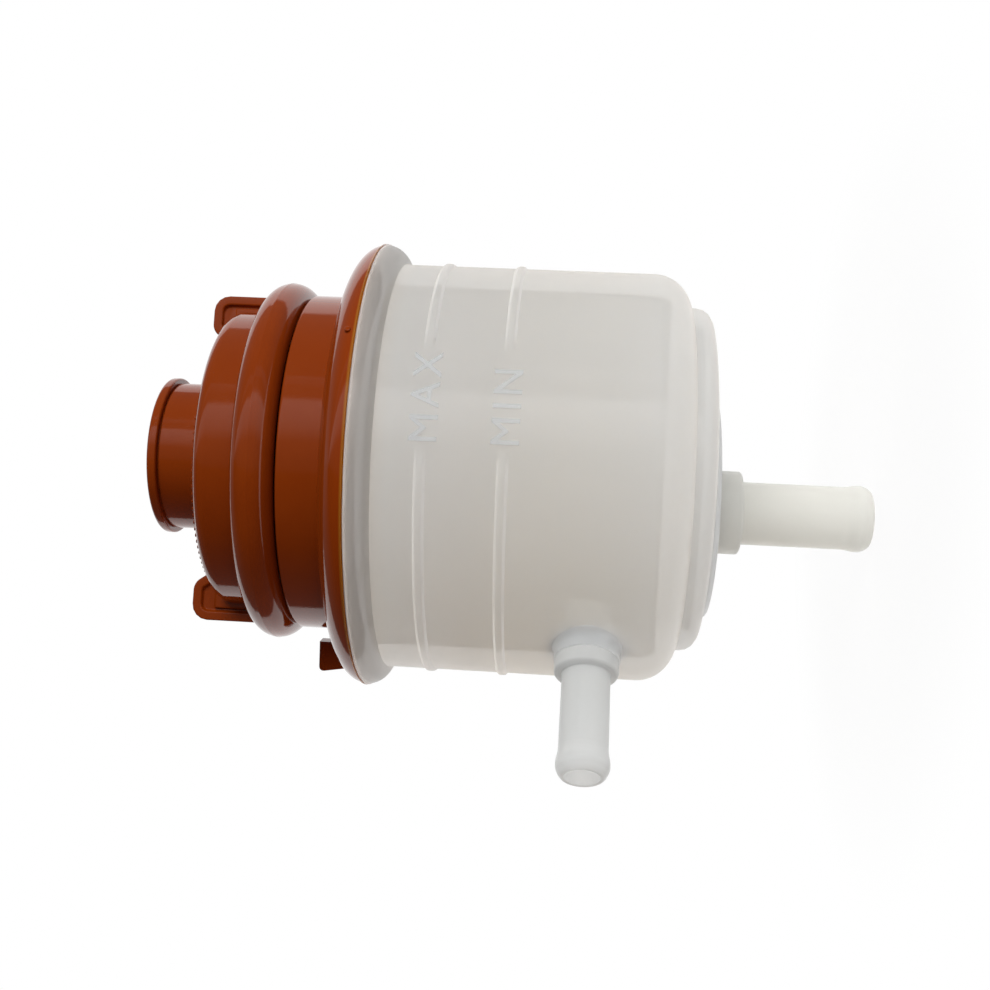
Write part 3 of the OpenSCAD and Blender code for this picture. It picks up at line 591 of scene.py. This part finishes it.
def tank_wall():
    inner_r = BODY_R - WALL
    ledge_r = inner_r + BAFFLE_LEDGE
    corner_start = -math.degrees(math.acos((BASE_RING_R - BODY_R + BODY_CORNER_R) / BODY_CORNER_R))
    corner_r = BODY_R - BODY_CORNER_R
    corner_z = BODY_BOTTOM_Z + BODY_CORNER_R
    well_r = BASE_RING_R - WALL
    wall = turned(
        [(0, BASE_Z), (BASE_RING_R, BASE_Z, BASE_RING_CORNER)]
        + arc(corner_r, corner_z, BODY_CORNER_R, BODY_CORNER_R, corner_start, 0, 10)
        + ring_section(LEVEL_DROPS["MIN"]) + ring_section(LEVEL_DROPS["MAX"])
        + [(BODY_R, -1.2), (BODY_R + 0.15, -0.3)]
        + arc(BODY_R, SEAM_Z, FLANGE_R - BODY_R, SEAM_Z, -84, 0, 10)[1:]
        + [(ledge_r, SEAM_Z), (ledge_r, BAFFLE_Z), (inner_r, BAFFLE_Z)]
        + arc(corner_r, corner_z, BODY_CORNER_R - WALL, BODY_CORNER_R - WALL, 0, -90, 8)
        + [(well_r, BODY_BOTTOM_Z + WALL, 0.8), (well_r, FLOOR_Z, 1.6), (0, FLOOR_Z)]
    )
    for point in wall.verts:
        turn = math.degrees(math.atan2(point.co.y, point.co.x)) % 360
        reach = point.co.xy.length
        in_gap = LEVEL_GAP_START < turn < LEVEL_GAP_START + LEVEL_GAP
        if in_gap and point.co.z < -2 and reach > BODY_R:
            point.co.xy *= BODY_R / reach
    for face in wall.faces:
        center = face.calc_center_median()
        outwards = Vector((center.x, center.y, 0)).dot(face.normal)
        in_reach = center.xy.length < ledge_r + 0.1 and center.z > FLOOR_Z - 0.1
        face.material_index = int(in_reach and (outwards < -0.1 or face.normal.z > 0.3))
    return wall


def ring_section(drop):
    """Outline corners of one raised level ring, from its lower foot to its upper one."""
    half = LEVEL_W / 2
    return [
        (BODY_R, -drop - half), (BODY_R + LEVEL_PROUD, -drop - half * 0.55, 0.3),
        (BODY_R + LEVEL_PROUD, -drop + half * 0.55, 0.3), (BODY_R, -drop + half),
    ]


def level_word(word, drop):
    """A raised plain word that follows the tank's wall, in the break of its ring."""
    curve = bpy.data.curves.new(word, "FONT")
    curve.body = word
    curve.size = WORD_H * 1.35
    curve.space_character = 1.25
    curve.extrude = WORD_PROUD / 2
    curve.bevel_depth = 0.06
    curve.bevel_resolution = 1
    letters = bpy.data.objects.new(word, curve)
    bpy.context.scene.collection.objects.link(letters)
    bpy.context.view_layer.update()
    flat = bpy.data.meshes.new_from_object(letters.evaluated_get(bpy.context.evaluated_depsgraph_get()))
    bpy.data.objects.remove(letters)
    bpy.data.curves.remove(curve)
    bm = bmesh.new()
    bm.from_mesh(flat)
    bpy.data.meshes.remove(flat)
    bmesh.ops.remove_doubles(bm, verts=bm.verts, dist=0.002)
    for point in bm.verts:
        turn = math.radians(WORD_START) + point.co.x / BODY_R
        reach = BODY_R + WORD_PROUD / 2 + point.co.z
        height = point.co.y - drop - WORD_H / 2
        point.co = (reach * math.cos(turn), reach * math.sin(turn), height)
    bmesh.ops.recalc_face_normals(bm, faces=bm.faces)
    for face in bm.faces:
        face.material_index = 2
    return bm


def outlet_pad():
    sunk = 0.6
    return moved(
        turned([(0, PAD_Z), (PAD_R, PAD_Z, PAD_CORNER), (PAD_R, BASE_Z + sunk), (0, BASE_Z + sunk)],
               sides=SMALL_SIDES),
        Matrix.Translation((-PAD_OFFSET, 0, 0)),
    )


def return_boss():
    """The boss on the wall, flared into it, round the return nipple's seat."""
    flare = arc(RETURN_BOSS_R + 2.2, BODY_R + 1.3, 2.2, 2.2, 255, 180, 6)
    return moved(
        turned([(RETURN_SPIGOT_R, BODY_R - 2), (RETURN_BOSS_R + 1.6, BODY_R - 2)] + flare
               + [(RETURN_BOSS_R, RETURN_SEAT, 0.4), (RETURN_SPIGOT_R, RETURN_SEAT)],
               closed=True, sides=SMALL_SIDES),
        ON_RETURN_AXIS,
    )


def flash(height, reach, half_t):
    """A thin, uneven lip of plastic that the weld has squeezed out."""
    foot_r = FLANGE_R - 0.4
    lip = turned(
        [(foot_r, height - half_t), (reach, height - half_t * 0.4, half_t * 0.2),
         (reach, height + half_t * 0.4, half_t * 0.2), (foot_r, height + half_t)],
        closed=True,
    )
    for point in lip.verts:
        turn = math.atan2(point.co.y, point.co.x)
        wave = math.sin(turn * 7 + 1.0) + 0.6 * math.sin(turn * 17 + 2.3) + 0.4 * math.sin(turn * 41)
        if point.co.xy.length > FLANGE_R - 0.1:
            point.co.xy *= 1 + wave * FLASH_WAVE / FLANGE_R
        point.co.z += wave * FLASH_WAVE
    return lip


def make_tank():
    parts = [tank_wall(), outlet_pad(), return_boss()]
    parts += [level_word(word, drop) for word, drop in LEVEL_DROPS.items()]
    parts.append(flash(SEAM_Z - 0.3, FLANGE_R + 0.25, 0.25))
    piece("tank", parts, [MILKY, INNER_FACE, RELIEF], "tank", "tank", "tank_shell")


# Upper housing


def make_housing():
    neck_inner_r = NECK_R - WALL
    spout_inner_r = SPOUT_R - SPOUT_WALL
    seat_r = spout_inner_r + STRAINER_SEAT
    flange_h = NECK_BASE_Z - SEAM_Z
    shell = turned(
        arc(NECK_R + 0.7, SEAM_Z, FLANGE_R - NECK_R - 0.7, flange_h, 0, 86, 14)
        + arc(NECK_R + 0.7, NECK_BASE_Z + 0.65, 0.7, 0.7, 270, 180, 3)
        + [
            (NECK_R, NECK_TOP_Z, 0.7), (SPOUT_R, NECK_TOP_Z, 0.5), (SPOUT_R, SPOUT_TOP_Z, 0.3),
            (seat_r, SPOUT_TOP_Z, 0.2), (seat_r, SPOUT_TOP_Z - STRAINER_SEAT),
            (spout_inner_r, SPOUT_TOP_Z - STRAINER_SEAT), (spout_inner_r, NECK_TOP_Z - WALL, 0.5),
            (neck_inner_r, NECK_TOP_Z - WALL, 1.0),
        ]
        + arc(neck_inner_r, SEAM_Z, BAFFLE_HOLD_R - neck_inner_r, flange_h - WALL, 90, 0, 8),
        closed=True,
    )
    lug = moved(
        plate(
            [
                (LUG_REACH - LUG_L, SEAM_Z + 0.5), (LUG_REACH - 2.4, SEAM_Z + 0.5),
                (LUG_REACH, LUG_TOP_Z, 1.4), (LUG_REACH - LUG_L, LUG_TOP_Z),
            ],
            LUG_T, 0.5,
        ),
        around(LUG_ANGLE),
    )
    ramps = []
    for lock in range(3):
        start = RAMP_START + lock * 120
        for i in range(4):
            ramps.append(lock_block(start + i * RAMP_STEP, RAMP_STEP - RAMP_SLIT,
                                    RAMP_Z + LOCK_LEAD * i * RAMP_STEP / 360, LOCK_H))
        stop_h = 2 * LOCK_H + 0.8
        ramps.append(lock_block(start - 6, 4, RAMP_Z + LOCK_H - stop_h, stop_h))
    pip = moved(
        turned([(0, -0.4), (0.7, -0.4), (0.7, 0.35, 0.3), (0, 0.35)], sides=24),
        around(301) @ Matrix.Translation((FLANGE_R - 0.15, 0, SEAM_Z + 2.0))
        @ Matrix.Rotation(math.pi / 2, 4, "Y"),
    )
    lip = flash(SEAM_Z + 0.3, FLANGE_R + 0.35, 0.22)
    piece("upper_housing_shell", [shell, lug, pip, lip] + ramps, [AMBER], "tank", "housing",
          "upper_housing")


def lock_block(start, sweep, height, tall):
    return turned(
        [(SPOUT_R - 0.5, height), (SPOUT_R + LOCK_DEPTH, height, 0.3),
         (SPOUT_R + LOCK_DEPTH, height + tall, 0.3), (SPOUT_R - 0.5, height + tall)],
        closed=True, start=start, sweep=sweep,
    )


# Cap


def cap_turning():
    skirt_inner_r = SKIRT_R - CAP_WALL
    knob_inner_r = KNOB_R - CAP_WALL
    rim_inner_r = BEAD_CENTER_R + 0.5
    hollow_top_z = RIM_Z + BEAD_R + 2.5
    rib_r = SPOUT_R - SPOUT_WALL - 0.7
    rib_z = CEILING_Z - 1.9
    bead_start = -90 + math.degrees(math.asin(0.5 / BEAD_R))
    ridge = 0.07
    ridge_w = 0.3
    return turned(
        [
            (0, PARTITION_Z), (knob_inner_r, PARTITION_Z), (knob_inner_r, CEILING_Z, 0.3),
            (rib_r - 1.5, CEILING_Z), (rib_r - 1.5, rib_z, 0.3), (rib_r, rib_z, 0.3),
            (rib_r, CEILING_Z), (skirt_inner_r, CEILING_Z, 0.5), (skirt_inner_r, RIM_Z + 1.6, 0.4),
            (SKIRT_R, RIM_Z + 1.6, 0.4), (SKIRT_R, hollow_top_z, 0.5), (rim_inner_r, hollow_top_z, 0.5),
        ]
        + arc(BEAD_CENTER_R, BEAD_Z, BEAD_R, BEAD_R, bead_start, -4, 12)
        + [
            (BEAD_CENTER_R + BEAD_R + ridge, BEAD_Z - ridge_w / 2),
            (BEAD_CENTER_R + BEAD_R + ridge, BEAD_Z + ridge_w / 2),
        ]
        + arc(BEAD_CENTER_R, BEAD_Z, BEAD_R, BEAD_R, 4, 90, 12)
        + [
            (SKIRT_R, BEAD_Z + BEAD_R, 0.5), (SKIRT_R, FACE_Z, FACE_EDGE),
            (KNOB_R, FACE_Z, 0.6), (KNOB_R, KNOB_TOP_Z, 0.25), (knob_inner_r, KNOB_TOP_Z, 0.25),
            (knob_inner_r, PARTITION_Z + PARTITION_T, 0.4), (0, PARTITION_Z + PARTITION_T),
        ]
    )


def ear():
    foot_z = BEAD_Z + BEAD_R / 2
    inner = EAR_REACH - EAR_L
    return plate(
        [
            (SKIRT_R - 1.0, FACE_Z - 1.0), (SKIRT_R - 1.0, foot_z), (EAR_REACH, foot_z),
            (EAR_REACH, EAR_TOP_Z, EAR_CORNER),
            (inner + (EAR_TOP_Z - FACE_Z) * 0.8, EAR_TOP_Z, 1.6), (inner, FACE_Z - 1.0),
        ],
        EAR_T, 0.5, recess=(EAR_RIM, EAR_RECESS),
    )


def tick(angle):
    """One plain raised rib on the cap's face."""
    rib = plate(
        [(TICK_IN, FACE_Z - 0.6), (TICK_OUT, FACE_Z - 0.6), (TICK_OUT, FACE_Z + TICK_H * 0.7),
         (TICK_IN, FACE_Z + TICK_H)],
        TICK_W, 0.15,
    )
    return moved(rib, around(angle))


def make_cap():
    parts = [cap_turning()]
    parts += [moved(ear(), around(EAR_ANGLE + turn)) for turn in (0, 180)]
    parts += [tick(angle) for middle in (67, 247) for angle in range(middle - 38, middle + 39, 3)]
    for lock in range(3):
        catch_in = SPOUT_R + 0.4
        catch_out = SKIRT_R - CAP_WALL / 2
        height = RAMP_Z - 0.8 - LOCK_H
        parts.append(turned(
            [(catch_in, height), (catch_out, height), (catch_out, height + LOCK_H),
             (catch_in, height + LOCK_H)],
            closed=True, start=RAMP_START + lock * 120 + 2, sweep=14,
        ))
    piece("twist_cap", parts, [BROWN], "cap", "cap", "filler_cap")


def make_lid():
    plug_r = KNOB_R - CAP_WALL - 0.05
    rim_z = KNOB_TOP_Z + LID_GROOVE
    dish_r = KNOB_R - CAP_WALL - 1
    lid = turned([
        (0, KNOB_TOP_Z), (plug_r - 1.5, KNOB_TOP_Z), (plug_r - 1.5, KNOB_TOP_Z - 3),
        (plug_r, KNOB_TOP_Z - 3), (plug_r, KNOB_TOP_Z), (KNOB_R - 0.5, KNOB_TOP_Z),
        (KNOB_R - 0.5, rim_z), (LID_R, rim_z, 0.5), (LID_R, LID_TOP_Z, 0.9),
        (dish_r, LID_TOP_Z, 0.4), (dish_r - 0.6, LID_TOP_Z - 0.6, 0.4), (0, LID_TOP_Z - 0.6),
    ])
    piece("knob_lid", [lid], [BROWN], "cap", "cap", "breather_lid")


# Nipples


def hose_end(tube_r, bore_r, start, end, back):
    """Outline of a nipple from its collar to its end and back through the bore.
    start and end are places along the axis; the outline grows from start to end."""
    way = 1 if end > start else -1
    return [
        (tube_r, start, 0.4),
        (tube_r, end - way * (NOSE_L + LAND_L + SLOPE_L), 0.8),
        (tube_r + BEAD_PROUD, end - way * (NOSE_L + LAND_L), 0.5),
        (tube_r + BEAD_PROUD, end - way * NOSE_L, 0.5),
        (tube_r - 0.22, end - way * NOSE_LIP, 0.4),
        (tube_r - 0.9, end, 0.2),
        (bore_r, end, 0.25),
        (bore_r, back),
    ]


def make_suction_nipple():
    outline = [
        (STUB_R, STUB_TOP_Z, 0.4), (STUB_R, FILTER_SEAT_Z), (OUTLET_SPIGOT_R, FILTER_SEAT_Z, 0.3),
        (OUTLET_SPIGOT_R, PAD_Z), (OUTLET_COLLAR_R, PAD_Z, 0.3), (OUTLET_COLLAR_R, OUTLET_COLLAR_Z, 0.8),
    ] + hose_end(OUTLET_TUBE_R, OUTLET_BORE_R, OUTLET_COLLAR_Z, OUTLET_END_Z, STUB_TOP_Z)
    nipple = moved(turned(outline, closed=True, sides=SMALL_SIDES), ON_OUTLET_AXIS)
    piece("suction_nipple_tube", [nipple], [CREAM], "tank", "suction_nipple", "suction_nipple")


def make_return_nipple():
    outline = [
        (RETURN_SPIGOT_R, RETURN_INNER_END, 0.3), (RETURN_SPIGOT_R, RETURN_SEAT),
        (RETURN_COLLAR_R, RETURN_SEAT, 0.3), (RETURN_COLLAR_R, RETURN_COLLAR_END, 0.8),
    ] + hose_end(RETURN_TUBE_R, RETURN_BORE_R, RETURN_COLLAR_END, RETURN_TIP, RETURN_INNER_END)
    nipple = moved(turned(outline, closed=True, sides=SMALL_SIDES), ON_RETURN_AXIS)
    piece("return_nipple_tube", [nipple], [GREY_WHITE], "tank", "return_nipple", "return_nipple")


def make_spring():
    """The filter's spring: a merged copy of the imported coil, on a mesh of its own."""
    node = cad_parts["filter_spring"]
    coil = bmesh.new()
    coil.from_mesh(node.data)
    moved(coil, Matrix.Scale(1 / MM, 4) @ node.matrix_world)
    close_up(coil)
    spring = piece("filter_coil_spring", [coil], [SPRING_STEEL], "tank", "steel", "filter_spring")
    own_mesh(spring)


def dress_inner_parts():
    """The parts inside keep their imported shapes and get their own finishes."""
    finishes = {
        "return_diffuser": WHITE, "splash_plate": WHITE, "strainer_basket": WHITE,
        "baffle_plate": WHITE, "cap_gasket": RUBBER, "breather_valve": RUBBER,
        "filter_grommet": RUBBER, "breather_felt": FELT, "strainer_mesh": CLOTH,
        "filter_top_plate": PRESSED_STEEL,
        "filter_base_plate": PRESSED_STEEL, "filter_core": PRESSED_STEEL, "filter_media": PAPER,
        "ring_magnet": FERRITE,
    }
    for node, finish in finishes.items():
        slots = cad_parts[node].material_slots
        for slot in slots:
            slot.material = finish


# Studio


def make_camera():
    """The photograph's view: a level look across the tank's side, the cap to the left."""
    data = bpy.data.cameras.new("camera")
    data.sensor_width = 36.0
    data.lens = 45.4545
    data.clip_start = 0.005
    camera = bpy.data.objects.new("camera", data)
    right = Vector((0.0492, 0.06358, -0.99676)).normalized()
    back = Vector((0.0, -0.99797, -0.06366)).normalized()
    up = back.cross(right).normalized()
    right = up.cross(back)
    camera.matrix_world = Matrix.Translation((-0.00624, -0.3193, -0.04474)) @ Matrix(
        (right, up, back)
    ).transposed().to_4x4()
    bpy.context.scene.collection.objects.link(camera)
    bpy.context.scene.camera = camera


def make_floor():
    """A plain pale floor just under the suction nipple, white to the camera but for the shadow."""
    below = 0.4
    half = 0.16
    bm = bmesh.new()
    bmesh.ops.create_circle(bm, cap_ends=True, segments=TURN_SIDES, radius=half)
    bmesh.ops.translate(bm, verts=bm.verts, vec=(0, 0, (OUTLET_END_Z - below) * MM))
    mesh = bpy.data.meshes.new("floor")
    bm.to_mesh(mesh)
    bm.free()
    material, tree, shader = start_material("matt white card")
    shader.inputs["Base Color"].default_value = linear("#F4F4F2")
    shader.inputs["Roughness"].default_value = 0.9
    shader.inputs["Specular IOR Level"].default_value = 0.1
    seen = seen_directly(tree)
    place = add(tree, "ShaderNodeTexCoord").outputs["Object"]
    reach = add(tree, "ShaderNodeVectorMath", {0: place}, operation="LENGTH")
    fade = add(tree, "ShaderNodeMapRange", {
        "Value": reach.outputs["Value"], "From Min": 0.125, "From Max": half,
        "To Min": 0.93, "To Max": 1.0,
    }, interpolation_type="SMOOTHSTEP")
    share = add(tree, "ShaderNodeMath", {0: seen, 1: fade.outputs["Result"]}, operation="MULTIPLY")
    white = add(tree, "ShaderNodeEmission", {"Color": (1, 1, 1, 1), "Strength": 1.0})
    mix = add(tree, "ShaderNodeMixShader", {
        0: share.outputs["Value"], 1: shader.outputs["BSDF"], 2: white.outputs["Emission"],
    })
    tree.links.new(mix.outputs["Shader"], tree.nodes["Material Output"].inputs["Surface"])
    mesh.materials.append(material)
    floor = bpy.data.objects.new("floor", mesh)
    bpy.context.scene.collection.objects.link(floor)


def seen_directly(tree):
    """1 for rays from the camera, off a glossy surface or through a clear one."""
    path = add(tree, "ShaderNodeLightPath")
    first = add(tree, "ShaderNodeMath", {
        0: path.outputs["Is Camera Ray"], 1: path.outputs["Is Glossy Ray"],
    }, operation="MAXIMUM")
    return add(tree, "ShaderNodeMath", {
        0: first.outputs["Value"], 1: path.outputs["Is Transmission Ray"],
    }, operation="MAXIMUM").outputs["Value"]


# The room round the tank's axis, in degrees from the camera's side towards +X: a soft window above
# the camera, two thin lamps and a dark room below. Behind the tank is a white backdrop, wherever a
# direction runs further back than this share of its length.
ROOM = [
    (-180, 0.2), (-100, 0.08), (-60, 0.01), (-10, 0.01), (-7, 0.06), (12, 0.12), (22, 0.50),
    (39, 0.75), (42, 0.10), (51.5, 0.08), (52.5, 0.40), (53.5, 0.08), (56, 0.35), (57, 0.06),
    (100, 0.12), (180, 0.3),
]
BACKDROP_FROM = 0.46


def make_world():
    world = bpy.data.worlds.new("studio")
    bpy.context.scene.world = world
    world.use_nodes = True
    tree = world.node_tree
    tree.nodes.clear()
    way = add(tree, "ShaderNodeTexCoord").outputs["Generated"]
    split = add(tree, "ShaderNodeSeparateXYZ", {"Vector": way})
    front = add(tree, "ShaderNodeMath", {0: split.outputs["Y"], 1: -1.0}, operation="MULTIPLY")
    turn = add(tree, "ShaderNodeMath", {0: split.outputs["X"], 1: front.outputs["Value"]},
               operation="ARCTAN2")
    place = add(tree, "ShaderNodeMapRange", {
        "Value": turn.outputs["Value"], "From Min": -math.pi, "From Max": math.pi,
    })
    ramp = add(tree, "ShaderNodeValToRGB", {"Fac": place.outputs["Result"]})
    stops = ramp.color_ramp.elements
    while len(stops) < len(ROOM):
        stops.new(0.5)
    for stop, (angle, level) in zip(stops, ROOM):
        stop.position = (angle + 180) / 360
    for stop, (angle, level) in zip(stops, ROOM):
        stop.color = (level, level, level, 1)
    behind = add(tree, "ShaderNodeMapRange", {
        "Value": split.outputs["Y"], "From Min": BACKDROP_FROM, "From Max": BACKDROP_FROM + 0.03,
    })
    room = add(tree, "ShaderNodeMix", {
        "Factor": behind.outputs["Result"], "A": ramp.outputs["Color"], "B": (1, 1, 1, 1),
    }, data_type="RGBA")
    path = add(tree, "ShaderNodeLightPath")
    open_view = add(tree, "ShaderNodeMath", {
        0: path.outputs["Is Camera Ray"], 1: path.outputs["Is Transmission Ray"],
    }, operation="MAXIMUM")
    shown = add(tree, "ShaderNodeMix", {
        "Factor": open_view.outputs["Value"], "A": room.outputs["Result"], "B": (1, 1, 1, 1),
    }, data_type="RGBA")
    background = add(tree, "ShaderNodeBackground", {"Color": shown.outputs["Result"], "Strength": 1.0})
    output = add(tree, "ShaderNodeOutputWorld")
    tree.links.new(background.outputs["Background"], output.inputs["Surface"])


def lamp(name, place, size, watts, colour="#FFFFFF"):
    data = bpy.data.lights.new(name, "AREA")
    data.shape = "DISK"
    data.size = size
    data.energy = watts
    data.color = linear(colour)[:3]
    light = bpy.data.objects.new(name, data)
    light.location = place
    aim = Vector((0, 0, -0.02)) - Vector(place)
    light.rotation_euler = aim.to_track_quat("-Z", "Y").to_euler()
    light.visible_glossy = False
    bpy.context.scene.collection.objects.link(light)


def make_lamps():
    lamp("key", (0.62, -0.62, 0.18), 0.7, 6.2)
    lamp("back_fill", (0.35, 0.8, 0.15), 0.8, 2.8)
    lamp("back_low", (-0.55, 0.7, -0.1), 0.8, 3.6, "#FFF4EC")
    lamp("low_fill", (-0.7, -0.25, -0.2), 0.8, 1.0, "#FFDCC4")


make_tank()
make_housing()
make_cap()
make_lid()
make_suction_nipple()
make_return_nipple()
make_spring()
dress_inner_parts()
make_floor()
make_world()
make_lamps()
make_camera()
bpy.context.scene.view_settings.view_transform = "Standard"
